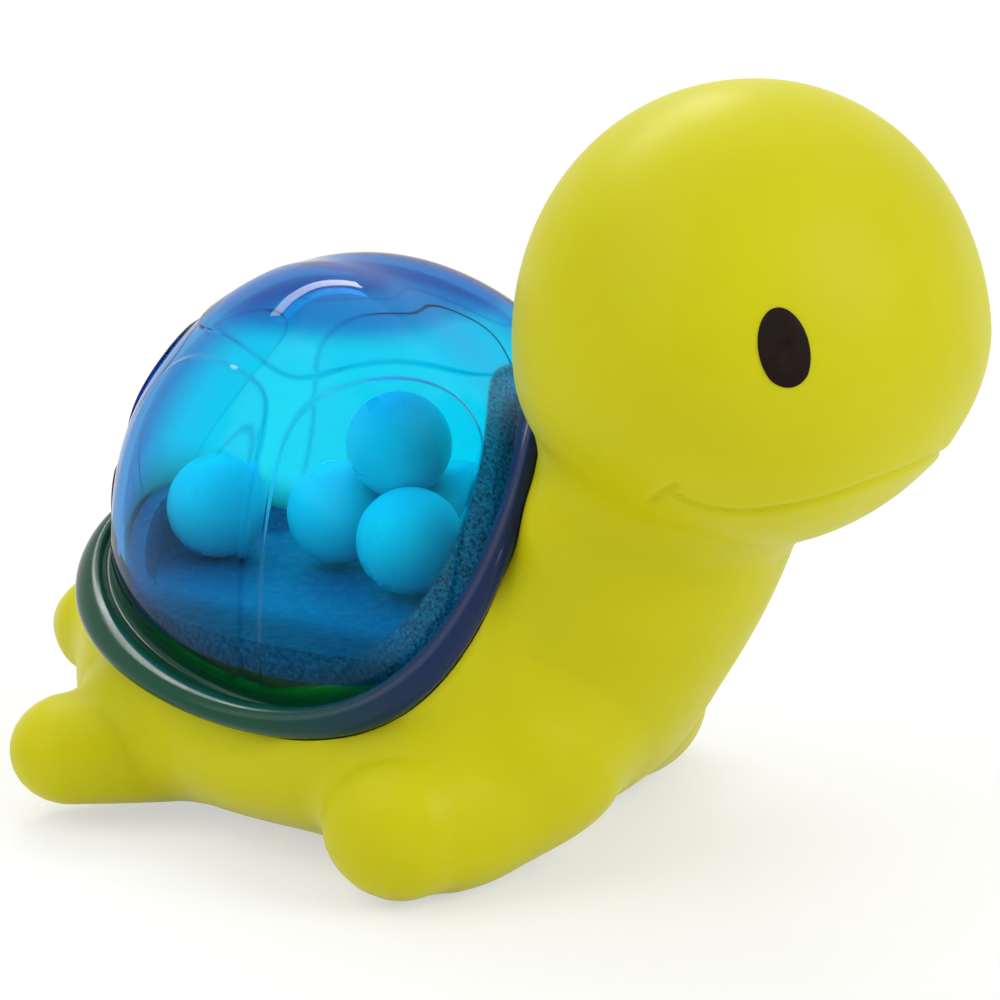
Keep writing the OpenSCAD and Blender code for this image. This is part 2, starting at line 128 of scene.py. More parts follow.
# Curves and rings
def smooth_rows(rows, steps):
    n, out = len(rows) - 1, []
    for i in range(n):
        a, b, c, d = rows[max(i - 1, 0)], rows[i], rows[i + 1], rows[min(i + 2, n)]
        for t in np.arange(steps) / steps:
            out.append((2 * b + (c - a) * t + (2 * a - 5 * b + 4 * c - d) * t ** 2
                        + (3 * b - a - 3 * c + d) * t ** 3) / 2)
    return out + [rows[n]]


def spow(v, p):
    return np.sign(v) * np.abs(v) ** p


def turns(sides):
    return np.arange(sides) * 2 * math.pi / sides


def unit(v):
    return v / np.linalg.norm(v)


def ring_solid(first, rings, last):
    """Vertices and faces of a closed solid of rings between two end points."""
    n, m = len(rings[0]), len(rings)
    verts = np.vstack([[first], np.concatenate(rings), [last]])
    i = np.arange(n)
    k = (i + 1) % n
    faces = [[0, int(b), int(a)] for a, b in zip(1 + i, 1 + k)]
    for j in range(m - 1):
        low = 1 + j * n
        faces += np.stack([low + i, low + k, low + n + k, low + n + i], 1).tolist()
    top = 1 + (m - 1) * n
    faces += [[top + n, int(a), int(b)] for a, b in zip(top + i, top + k)]
    return verts, faces


def closed(rings):
    return ring_solid(np.mean(rings[0], 0), rings, np.mean(rings[-1], 0))


def make_mesh(name, verts, faces):
    mesh = bpy.data.meshes.new(name)
    mesh.from_pydata((np.asarray(verts) * MM).tolist(), [], faces)
    mesh.validate()
    mesh.update()
    obj = bpy.data.objects.new(name, mesh)
    bpy.context.scene.collection.objects.link(obj)
    return obj


def join_solids(name, solids):
    verts, faces, base = [], [], 0
    for v, f in solids:
        verts.append(v)
        faces += [[base + q for q in face] for face in f]
        base += len(v)
    return make_mesh(name, np.vstack(verts), faces)


def apply_modifiers(obj):
    bpy.context.view_layer.update()
    shaped = obj.evaluated_get(bpy.context.evaluated_depsgraph_get())
    done = bpy.data.meshes.new_from_object(shaped)
    old = obj.data
    obj.modifiers.clear()
    obj.data = done
    bpy.data.meshes.remove(old)


def smooth_shade(obj, sharp=None):
    obj.data.shade_smooth()
    if sharp:
        obj.data.set_sharp_from_angle(angle=math.radians(sharp))


# Body
def trunk_solid(sides, steps):
    rings = []
    for x, z, lean, w, up, down, power in smooth_rows(TRUNK_SHARES, steps):
        u = turns(sides)
        h = np.where(np.sin(u) > 0, up, down) * TRUNK_D * spow(np.sin(u), 2 / power)
        lean = lean * math.pi / 2
        rings.append(np.stack([
            x * TRUNK_L + h * math.cos(lean), w * TRUNK_W * spow(np.cos(u), 2 / power),
            z * HEAD_Z + h * math.sin(lean)], 1))
    return closed(rings)


def head_point(turn, k, grow=0.0):
    """Point on the head at a turn from the nose and a share k of its height."""
    turn, k = np.broadcast_arrays(np.asarray(turn, float), np.asarray(k, float))
    n = np.where(k > 0, CROWN_ROUND, CHIN_ROUND)
    r = np.maximum(1 - np.abs(k) ** n, 0) ** (1 / n)
    x, y = (HEAD_RX + grow) * r * np.cos(turn), (HEAD_RY + grow) * r * np.sin(turn)
    z = (np.where(k > 0, HEAD_UP, HEAD_DN) + grow) * k
    c, s = math.cos(HEAD_TILT), math.sin(HEAD_TILT)
    return HEAD_C + np.stack([x * c - z * s, y, x * s + z * c], -1)


def head_solid(sides, levels):
    ks = np.sin(np.linspace(-math.pi / 2, math.pi / 2, levels + 1))[1:-1]
    rings = [head_point(turns(sides), k) for k in ks]
    return ring_solid(head_point(0, -1), rings, head_point(0, 1))


def limb_solid(shares, width, thick, side, sides, steps):
    rows = smooth_rows(shares * [TRUNK_L, side * TRUNK_W, HEAD_Z, width, thick], steps)
    mids, n = [r[:3] for r in rows], len(rows) - 1
    u = turns(sides)[:, None]

    def way(i):
        return unit(mids[min(i + 1, n)] - mids[max(i - 1, 0)])

    def ring(i, angle=0.0):
        across = unit(np.cross([0, 0, 1], way(i)))
        rise = np.cross(way(i), across)
        shrink = math.cos(angle)
        return (mids[i] + way(i) * rows[i][3] * math.sin(angle)
                + across * rows[i][3] * shrink * np.cos(u)
                + rise * rows[i][4] * shrink * np.sin(u))

    ends = np.radians([15, 30, 45, 60, 75])
    rings = ([ring(0, -a) for a in ends[::-1]] + [ring(i) for i in range(n + 1)]
             + [ring(n, a) for a in ends])
    return ring_solid(mids[0] - way(0) * rows[0][3], rings, mids[n] + way(n) * rows[n][3])


# Egg that the shell is cut from. A height h is above its middle, and a turn a of 0
# points to the neck.
def rim_h(a):
    return EGG_H * sum(w * np.cos(i * a) for i, w in enumerate(RIM_WAVES))


def egg_point(a, h, grow=0.0, out=0.0):
    """Point at a turn and a height, on the egg grown by an offset, moved out."""
    a, h, grow, out = np.broadcast_arrays(*[np.asarray(v, float) for v in (a, h, grow, out)])
    k = np.abs(h) / (EGG_H + grow)
    r = np.where(h > 0, np.maximum(1 - k ** EGG_ROUND, 0) ** (1 / EGG_ROUND), 1 - EGG_TUCK * k * k)
    r = r * (1 - NECK_HOLLOW * ((1 + np.cos(a)) / 2) ** NECK_HOLLOW_POWER)
    along = ((EGG_A + grow) * r + out) * np.cos(a)
    across = ((EGG_B + grow) * r + out) * np.sin(a)
    return (EGG_C + along[..., None] * EGG_FORE + h[..., None] * EGG_UP
            + across[..., None] * np.array([0.0, 1.0, 0.0]))


def profile_ring(p, sides):
    a = turns(sides)
    return egg_point(a, rim_h(a) + p[1], 0, p[0])


def egg_heights(lift, grow, levels, sides):
    low = rim_h(turns(sides)) + lift
    return [low + (EGG_H + grow - low) * math.sin(math.pi / 2 * j / levels) for j in range(levels)]


def egg_rings(lift, grow, levels, sides):
    return [egg_point(turns(sides), h, grow) for h in egg_heights(lift, grow, levels, sides)]


def egg_top(grow):
    return EGG_C + EGG_UP * (EGG_H + grow)


def bead_profile(start, end, points, gap=0.0):
    return [[FLANGE_W + (BEAD_R + gap) * math.cos(b), (BEAD_R + gap) * math.sin(b)]
            for b in np.radians(np.linspace(start, end, points))]


# Steps that find the floor's height, the cutters' rise past the bead in bead radii and
# levels above it, and how far the opening goes down past its edge and past the tray
FLOOR_TRIES = 8
ROOM_RISE, ROOM_EGG, ROOM_LEVELS = 3, 3.2, 12
OPENING_DROP, OPENING_UNDER = 6, 4


def floor_h(a):
    """Height on the egg at which the dome's inner wall meets the tray's floor."""
    h = 0 * a
    for _ in range(FLOOR_TRIES):
        h = h + (FLOOR_Z - egg_point(a, h, -WALL_GAP)[:, 2]) / EGG_UP[2]
    return h


def collar_h(a):
    """Top of the vinyl collar that carries the tray's skirt inside the dome."""
    foot = rim_h(a) - DOME_T
    return foot + COLLAR_SHARE * np.maximum(floor_h(a) - foot, 0)


def shell_room_solid(sides):
    """Cutter for the room that the shell and its seat take from the body."""
    gap, a = SEAT_GAP, turns(sides)
    rows = ([[CHANNEL_W, -DOME_T - gap]] + bead_profile(BEAD_FROM, SEAT_TO, SEAT_POINTS, gap)
            + [[FLANGE_W, ROOM_RISE * BEAD_R + gap]])
    rings = ([egg_point(a, collar_h(a), 0, -WALL_GAP - SKIRT_T),
              egg_point(a, collar_h(a), 0, -WALL_GAP),
              egg_point(a, rim_h(a) - DOME_T - gap, 0, -WALL_GAP)]
             + [profile_ring(p, sides) for p in rows]
             + egg_rings(ROOM_EGG * BEAD_R + gap, gap, ROOM_LEVELS, sides))
    return ring_solid(np.mean(rings[0], 0), rings, egg_top(gap))


def opening_solid(sides):
    """Cutter for the opening under the tray, inside the seat."""
    edge = profile_ring([SEAT_GAP - WALL_GAP - SKIRT_T, -DOME_T], sides)
    low, high = edge.copy(), edge.copy()
    low[:, 2] = np.minimum(edge[:, 2] - OPENING_DROP, FLOOR_Z - TRAY_T - OPENING_UNDER)
    high[:, 2] = np.maximum(edge[:, 2] + BEAD_R, FLOOR_Z)
    return closed([low, high])


def bore_solid(d, high, sides=96):
    """Cutter for a bore of the squeaker, from under the belly up."""
    u = turns(sides)
    ring = np.stack([SQUEAKER_X + d / 2 * np.cos(u), d / 2 * np.sin(u), 0 * u], 1)
    return closed([ring + [0, 0, BORE_FROM], ring + [0, 0, high]])


# Mouth: a smiling crease, as turns from the nose in degrees and shares of height
MOUTH = np.array([[0, -0.575], [20, -0.605], [40, -0.65], [58, -0.665], [70, -0.645],
                  [79, -0.59], [84, -0.525]])
DIMPLE = np.array([[93, -0.585], [87, -0.53], [81, -0.485]])
CREASE_DEPTH, CREASE_W, LIP_RISE, LIP_AT, LIP_SPREAD = 0.42, 0.45, 0.08, 1.5, 1.1
# Part of the head that it can reach: from and to below the head's middle, behind it,
# and from the crease. The steps make its line out of the rows.
MOUTH_DN, MOUTH_UP, MOUTH_BACK, CREASE_REACH = 24, 4, 8, 6
CREASE_STEPS = 24


def crease_tree():
    paths = []
    for rows in (MOUTH, DIMPLE):
        fine = np.array(smooth_rows(rows, CREASE_STEPS))
        for side in (1, -1):
            paths.append(head_point(np.radians(side * fine[:, 0]), fine[:, 1]))
    points = np.vstack(paths)
    tree = KDTree(len(points))
    for i, p in enumerate(points):
        tree.insert(p, i)
    tree.balance()
    return tree


def vertex_array(mesh):
    co = np.empty(len(mesh.vertices) * 3, np.float32)
    mesh.vertices.foreach_get("co", co)
    return co.reshape(-1, 3).astype(float)


def normal_array(mesh):
    no = np.empty(len(mesh.vertices) * 3, np.float32)
    mesh.vertices.foreach_get("normal", no)
    return no.reshape(-1, 3).astype(float)


LEAST_WEIGHT = 0.002


class Relaxer:
    """Moves each vertex towards the mean of its neighbours."""

    def __init__(self, mesh):
        e = np.empty(len(mesh.edges) * 2, np.int32)
        mesh.edges.foreach_get("vertices", e)
        e = e.reshape(-1, 2)
        self.a = np.concatenate([e[:, 0], e[:, 1]])
        self.b = np.concatenate([e[:, 1], e[:, 0]])
        self.n = len(mesh.vertices)
        self.count = np.maximum(np.bincount(self.a, minlength=self.n), 1)

    def mean(self, v):
        v = np.asarray(v, float)
        if v.ndim == 1:
            return np.bincount(self.a, weights=v[self.b], minlength=self.n) / self.count
        return np.stack([self.mean(v[:, i]) for i in range(v.shape[1])], 1)

    def relax(self, co, weight, times):
        for _ in range(times):
            co = co + (self.mean(co) - co) * weight
        return co

    def relax_part(self, co, weight, times):
        """The same with a weight for each vertex, only where it passes LEAST_WEIGHT."""
        co = co.copy()
        moved = np.where(weight > LEAST_WEIGHT)[0]
        place = np.full(self.n, -1)
        place[moved] = np.arange(len(moved))
        used = place[self.a] >= 0
        rows, ahead, count = place[self.a[used]], self.b[used], self.count[moved]
        for _ in range(times):
            step = [np.bincount(rows, weights=co[ahead, i], minlength=len(moved)) / count
                    - co[moved, i] for i in range(3)]
            co[moved] += np.stack(step, 1) * weight[moved, None]
        return co


VOXEL = 0.42 if FINE else 0.8
TRUNK_GRID, HEAD_GRID, LIMB_GRID = (112, 10), (160, 90), (64, 10)
SEAT_SIDES, SEAT_STEPS = 160, 5
CUT_SIDES = 224 if FINE else 112
SMOOTH_WEIGHT, SMOOTH_PASSES = 0.5, 4
# Fillets: the hollow, as a share of a voxel, that counts in full, how far in mm they
# reach, how their weight spreads and fades, and how much and how often they relax
HOLLOW_FULL, FILLET_REACH = 0.02, 6.0
FILLET_SPREAD, FILLET_FADE, FILLET_WEIGHT = 1.02, 6, 0.9
FILLET_PASSES = 700 if FINE else 190
SLIVER = 2e-6


def drop_slivers(obj):
    """Collapse the needles, under SLIVER metres, that the cuts leave along their edges."""
    mesh = bmesh.new()
    mesh.from_mesh(obj.data)
    bmesh.ops.triangulate(mesh, faces=[f for f in mesh.faces if len(f.verts) > 4])
    bmesh.ops.dissolve_degenerate(mesh, dist=SLIVER, edges=mesh.edges)
    mesh.to_mesh(obj.data)
    mesh.free()


def body_solids():
    solids = [trunk_solid(*TRUNK_GRID), head_solid(*HEAD_GRID)]
    for side in (1, -1):
        back = [FORE_STAGGER / TRUNK_L if side > 0 else 0, 0, 0, 0, 0]
        solids.append(limb_solid(FORE_SHARES - back, FORE_W, FORE_T, side, *LIMB_GRID))
        solids.append(limb_solid(HIND_SHARES, HIND_W, HIND_T, side, *LIMB_GRID))
    seat = smooth_rows(np.array(SEAT_SHARES), SEAT_STEPS)
    return solids + [closed([profile_ring([out * FLANGE_W, lift * BEAD_R], SEAT_SIDES)
                             for out, lift in seat])]


def fillet(relaxer, co, normals):
    """Relax only where the surface is concave."""
    hollow = ((relaxer.mean(co) - co) * normals).sum(1)
    weight = np.clip(hollow / (HOLLOW_FULL * VOXEL), 0, 1)
    for _ in range(int(FILLET_REACH / VOXEL)):
        weight = np.maximum(weight, relaxer.mean(weight) * FILLET_SPREAD)
        weight = np.clip(weight, 0, 1)
    weight = relaxer.relax(weight, 1.0, FILLET_FADE)
    return relaxer.relax_part(co, FILLET_WEIGHT * weight, FILLET_PASSES)


def carve_mouth(co, normals):
    """Press the crease in and raise soft lips beside it."""
    tree = crease_tree()
    x, z = co[:, 0], co[:, 2]
    for i in np.where((z > HEAD_Z - MOUTH_DN) & (z < HEAD_Z - MOUTH_UP)
                      & (x > HEAD_C[0] - MOUTH_BACK))[0]:
        d = tree.find(co[i])[2]
        if d < CREASE_REACH:
            co[i] -= normals[i] * CREASE_DEPTH * math.exp(-(d / CREASE_W) ** 2)
            co[i] += normals[i] * LIP_RISE * math.exp(-((d - LIP_AT) / LIP_SPREAD) ** 2)


def build_body():
    body = join_solids("vinyl_body", body_solids())
    remesh = body.modifiers.new("remesh", "REMESH")
    remesh.mode, remesh.voxel_size = "VOXEL", VOXEL * MM
    apply_modifiers(body)
    mesh = body.data
    relaxer = Relaxer(mesh)
    normals = normal_array(mesh)
    co = relaxer.relax(vertex_array(mesh) / MM, SMOOTH_WEIGHT, SMOOTH_PASSES)
    co = fillet(relaxer, co, normals)
    carve_mouth(co, normals)
    co = np.clip(co, *(np.array([list(corner) for corner in cad_box]) / MM))
    mesh.vertices.foreach_set("co", (co * MM).astype(np.float32).ravel())
    mesh.update()
    for i, solid in enumerate([shell_room_solid(CUT_SIDES), opening_solid(CUT_SIDES),
                               bore_solid(BARREL_FLANGE_D + FLANGE_ROOM, FLANGE_TOP),
                               bore_solid(BARREL_D + BARREL_ROOM, BARREL_TOP)]):
        cutter = join_solids("cutter_%d" % i, [solid])
        cut = body.modifiers.new("cut", "BOOLEAN")
        cut.operation, cut.object, cut.solver = "DIFFERENCE", cutter, "MANIFOLD"
        apply_modifiers(body)
        bpy.data.objects.remove(cutter)
    drop_slivers(body)
    smooth_shade(body, sharp=40)
    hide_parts("body_skin")
    return body


# Scutes: rounded plates on a chart of the dome. The chart's first axis is X and
# its second the distance round from the ridge, both in mm.
CHART_R, CHART_Z = 36.0, 28.0
# Sharpness of the plates' corners, with the limit that keeps its powers in range, and
# the half width in mm of the painted shade along their borders
CORNER, POWER_LIMIT = 0.55, 60
BORDER_SHADE_W = 0.26
# Frosted strip along the front rim: its width in mm, and its reach to each side
FROST_W, FROST_TURN = 7.0, math.radians(75)


def chart(p):
    return np.stack([p[..., 0], np.arctan2(np.abs(p[..., 1]), p[..., 2] - CHART_Z) * CHART_R], -1)


def round_distance(p, corners):
    """Signed distance to a convex polygon with rounded corners, negative inside."""
    corners = np.array(corners, float)
    ahead = np.roll(corners, -1, 0)
    turn = np.sign((corners[:, 0] * ahead[:, 1] - ahead[:, 0] * corners[:, 1]).sum())
    total = 0
    for a, b in zip(corners, ahead):
        e = unit(b - a)
        power = CORNER * turn * ((p - a) @ [e[1], -e[0]])
        total = total + np.exp(np.clip(power, -POWER_LIMIT, POWER_LIMIT))
    return np.log(total) / CORNER


def degrees_round(rows):
    return [[x, math.radians(turn) * CHART_R] for x, turn in rows]


# Corners of each plate: X in mm and the turn round from the ridge in degrees
PLATES = [
    degrees_round([[23.5, -16], [23.5, 16], [7.5, 36.5], [-18, 20.5], [-18, -20.5], [7.5, -36.5]]),
    degrees_round([[8.0, 39.5], [24.5, 19.5], [29.5, 24], [33, 60], [33, 130], [8.5, 130]]),
    degrees_round([[5.0, 37.5], [-17, 27.5], [-22, 32], [-27, 70], [-30, 130], [5.0, 130]]),
    degrees_round([[-21, -23], [-21, 23], [-29, 30], [-50, 30], [-50, -30], [-29, -30]]),
    degrees_round([[-25, 34], [-33, 38], [-50, 50], [-50, 130], [-34.5, 130], [-31, 70]])]


def scute_rise(p):
    c = chart(p)
    rise = np.zeros(c.shape[:-1])
    for corners in PLATES:
        d = round_distance(c, corners)
        t = np.clip(-d / SCUTE_EDGE + 0.5, 0, 1)
        rise = np.maximum(rise, SCUTE_H * t * t * (3 - 2 * t))
    return rise


def plate_line(p):
    """1 on the border of each plate and 0 away from it: the mask of the painted shade along the
    borders.
    """
    c = chart(p)
    near = np.min([np.abs(round_distance(c, corners)) for corners in PLATES], 0)
    return np.exp(-(near / BORDER_SHADE_W) ** 2)


# The dome's mesh: sides and levels of its outer wall, levels of the inner one. The
# plates fade out over these heights above the bead and below the top.
DOME_SIDES, DOME_LEVELS, INNER_LEVELS = (720, 260, 60) if FINE else (320, 110, 30)
SCUTE_FADE, CROWN_FADE = 1.5, 1.0
# How the rim's dense look and its painted light and shade fade up the wall, and the
# softness of the strip's edges
RIM_START, RIM_REACH, RIM_POWER = 1.15, 7.0, 1.5
FROST_SOFT, FROST_TURN_SOFT = 0.5, 0.25


def build_dome():
    sides = DOME_SIDES
    a = turns(sides)
    turn = np.abs((a + math.pi) % (2 * math.pi) - math.pi)
    front = np.clip((FROST_TURN - turn) / FROST_TURN_SOFT, 0, 1)
    outer, rims, frosts, lines = [], [], [], []
    for h in egg_heights(BEAD_R / 2, 0, DOME_LEVELS, sides):
        p, lift = egg_point(a, h), h - rim_h(a)
        fade = np.clip((lift - BEAD_R) / SCUTE_FADE, 0, 1)
        crown = np.clip((EGG_H - h) / CROWN_FADE, 0, 1)
        outer.append(egg_point(a, h, scute_rise(p) * fade * crown))
        rims.append(np.clip(RIM_START - lift / RIM_REACH, 0, 1) ** RIM_POWER)
        frosts.append(front * np.clip((FROST_W - lift) / FROST_SOFT, 0, 1))
        # Mask of the painted shade along the plates' borders
        lines.append(plate_line(p) * fade)
    inner = egg_rings(0, -DOME_T, INNER_LEVELS, sides)[::-1]
    foot = ([[-DOME_T, -DOME_T], [-DOME_T / 2, -DOME_T], [CHANNEL_W, -DOME_T]]
            + bead_profile(BEAD_FROM, BEAD_TO, BEAD_POINTS)
            + [[out * CHANNEL_W, lift * BEAD_R] for out, lift in GROOVE_SHARES])
    rings = inner + [profile_ring(p, sides) for p in foot] + outer
    dome = make_mesh("clear_dome", *ring_solid(egg_top(-DOME_T), rings, egg_top(0)))
    # Attributes that lay the material out: the foot is all rim, the inner wall none
    for key, on_foot, on_outer in (("rim", 1, rims), ("frost", 0, frosts), ("line", 0, lines)):
        rows = np.concatenate([np.zeros((len(inner), sides)),
                               np.full((len(foot), sides), on_foot), on_outer])
        values = np.concatenate([[0], rows.ravel(), [0]]).astype(np.float32)
        dome.data.attributes.new(key, "FLOAT", "POINT").data.foreach_set("value", values)
    smooth_shade(dome)
    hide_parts("shell_dome")
    return dome


# Tray
TRAY_SIDES = 360 if FINE else 160
COVE, FOOT_OUT, FLOOR_RINGS = 0.5, 1.2, 24


def drawn(p, d):
    """Points moved level towards the Z axis by a distance."""
    level = p * [1, 1, 0]
    return p - np.asarray(d)[..., None] * level / np.linalg.norm(level, axis=1)[:, None]


def at_height(p, z):
    q = p.copy()
    q[:, 2] = z
    return q


def build_tray():
    a, one = turns(TRAY_SIDES), np.ones(TRAY_SIDES)
    top = egg_point(a, np.maximum(floor_h(a), rim_h(a) + LIP_H), -WALL_GAP)
    foot = egg_point(a, collar_h(a), 0, -WALL_GAP)
    rise = top[:, 2] - FLOOR_Z
    lean = LIP_W + LIP_H / 2 + rise * math.tan(FRONT_LEAN)
    wall_foot = at_height(drawn(top, lean), FLOOR_Z)
    cove = at_height(drawn(wall_foot, COVE * one), FLOOR_Z)
    wall_foot = wall_foot + np.stack([0 * one, 0 * one, np.minimum(rise, COVE)], 1)
    under = at_height(drawn(wall_foot, -FOOT_OUT * TRAY_T * one), FLOOR_Z - TRAY_T)
    rings = ([under, drawn(foot, SKIRT_T * one), foot, top, drawn(top, LIP_W * one), wall_foot,
              cove] + [cove * [s, s, 1] for s in np.linspace(0.98, 0.05, FLOOR_RINGS)])
    centre = np.array([0, 0, FLOOR_Z])
    tray = make_mesh("tray", *ring_solid(centre - [0, 0, TRAY_T], rings, centre))
    smooth_shade(tray, sharp=30)
    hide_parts("shell_tray")
    return tray


# Eyes: how far the ink stands out in the middle and at the edge, and reaches in, and
# the power that keeps it flat up to a rounded edge
EYE_SKIN, EYE_EDGE, EYE_SINK, EYE_FLAT = 0.3, 0.05, 0.15, 10
EYE_SIDES, EYE_LEVELS = 72, 14


def build_eye(side, name, node):
    u = turns(EYE_SIDES)

    def ring(share, grow):
        across, along = share * EYE_W / 2 * np.cos(u), share * EYE_H / 2 * np.sin(u)
        s = across * math.cos(EYE_LEAN) + along * math.sin(EYE_LEAN)
        t = along * math.cos(EYE_LEAN) - across * math.sin(EYE_LEAN)
        p = head_point(math.radians(EYE_TURN) + s / HEAD_RX, EYE_K + t / HEAD_UP, grow)
        return p * [1, side, 1]

    shares = np.sin(np.linspace(0, math.pi / 2, EYE_LEVELS + 1))[1:]
    under = [ring(s, -EYE_SINK) for s in shares]
    over = [ring(s, EYE_EDGE + (EYE_SKIN - EYE_EDGE) * math.sqrt(max(1 - s ** EYE_FLAT, 0)))
            for s in shares[::-1]]
    verts, faces = ring_solid(ring(0, -EYE_SINK)[0], under + over, ring(0, EYE_SKIN)[0])
    if side < 0:
        faces = [f[::-1] for f in faces]
    eye = make_mesh(name, verts, faces)
    smooth_shade(eye, sharp=50)
    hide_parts(node)
    return eye


# Materials. Noise lies mostly in this band, so ramps and spans run over it.
NOISE_BAND = (0.3, 0.7)
BLACK, WHITE = (0, 0, 0), (1, 1, 1)
MIX_A, MIX_B, MIX_RESULT = 6, 7, 2


def add_node(tree, kind, inputs=(), **settings):
    """New node with its settings, and each input set or linked to another's output."""
    node = tree.nodes.new("ShaderNode" + kind)
    for key, value in settings.items():
        setattr(node, key, value)
    plug(tree, node, inputs)
    return node


def plug(tree, node, inputs):
    for key, value in dict(inputs).items():
        if isinstance(value, bpy.types.NodeSocket):
            tree.links.new(value, node.inputs[key])
        else:
            node.inputs[key].default_value = value


def new_material(name):
    mat = bpy.data.materials.new(name)
    mat.use_nodes = True
    mat.node_tree.nodes.clear()
    shader = add_node(mat.node_tree, "BsdfPrincipled")
    add_node(mat.node_tree, "OutputMaterial", {"Surface": shader.outputs[0]})
    return mat, mat.node_tree, shader


def show(tree, shader, volume=None):
    out = tree.nodes["Material Output"]
    plug(tree, out, {"Surface": shader, "Volume": volume} if volume else {"Surface": shader})


def toy_place(tree):
    return add_node(tree, "TexCoord").outputs["Object"]


def noise(tree, scale, detail=3.0, roughness=0.5):
    return add_node(tree, "TexNoise", {"Vector": toy_place(tree), "Scale": scale, "Detail": detail,
                                       "Roughness": roughness}).outputs["Fac"]


def ramp(tree, fac, low, high, start=NOISE_BAND[0], end=NOISE_BAND[1]):
    node = add_node(tree, "ValToRGB", {"Fac": fac})
    for stop, place, colour in zip(node.color_ramp.elements, (start, end), (low, high)):
        stop.position = place
        stop.color = (*colour, 1)
    return node.outputs["Color"]


def stretch(tree, value, start, end, low=0.0, high=1.0):
    """Value that runs from low to high while another runs from start to end."""
    return add_node(tree, "MapRange", {"Value": value, "From Min": start, "From Max": end,
                                       "To Min": low, "To Max": high}).outputs["Result"]


def span(tree, fac, low, high):
    return stretch(tree, fac, *NOISE_BAND, low, high)


def compute(tree, operation, *values):
    return add_node(tree, "Math", dict(enumerate(values)), operation=operation).outputs[0]


def attribute(tree, name):
    return add_node(tree, "Attribute", attribute_name=name).outputs["Fac"]


def mix_colours(tree, fac, first, second):
    return add_node(tree, "Mix", {"Factor": fac, MIX_A: first, MIX_B: second},
                    data_type="RGBA").outputs[MIX_RESULT]


def mix_shaders(tree, fac, first, second):
    return add_node(tree, "MixShader", {"Fac": fac, 1: first, 2: second}).outputs[0]


def bump(tree, shader, fac, distance, strength=1.0):
    node = add_node(tree, "Bump", {"Height": fac, "Distance": distance, "Strength": strength})
    plug(tree, shader, {"Normal": node.outputs["Normal"]})


def along(tree, axis, low, high, first, last):
    """Colour that runs from first to last along an axis of the toy, in mm. Y counts
    from the middle to both sides."""
    split = add_node(tree, "SeparateXYZ", {0: toy_place(tree)})
    place = split.outputs[axis]
    if axis == "Y":
        place = compute(tree, "ABSOLUTE", place)
    return ramp(tree, stretch(tree, place, low * MM, high * MM), first, last, 0.0, 1.0)


def paint(tree, shader, colour, roughness, inputs=()):
    plug(tree, shader, {"Base Color": colour, "Roughness": roughness, **dict(inputs)})


def plain_material(name, colour, rough, grain, inputs=()):
    """One material all over. Each of the three varies with its own noise: colour and
    roughness between two ends, and the bump by its distance and strength."""
    mat, tree, s = new_material(name)
    paint(tree, s, ramp(tree, noise(tree, *colour[0]), *colour[1:]),
          span(tree, noise(tree, *rough[0]), *rough[1:]), inputs)
    bump(tree, s, noise(tree, *grain[0]), *grain[1:])
    return mat


# Share of red, green and blue light that a wall of the clear plastic lets through
WALL_PASS = (0.05, 0.85, 0.965)
# A wall seen edge on is a deeper blue, and the crown and the plates' borders take the
# same deeper blue as painted shade: how far the wall has turned, the crown's heights,
# and how deep the painted shade on crown and borders is
DEEP_BLUE = (0.01, 0.30, 0.62, 1)
EDGE_TURN, CROWN_Z = (0.42, 0.72), (64.8, 67.0)
CROWN_SHADE, BORDER_SHADE = 0.92, 0.7
# Rim colours: painted light, green for lit vinyl seen through the rim, and painted shade, navy for
# the seat's shade at the neck; and their span along X in mm
RIM_LIT_GREEN, RIM_SHADE_NAVY, RIM_X = (0.004, 0.090, 0.045), (0.010, 0.030, 0.120), (12, 34)


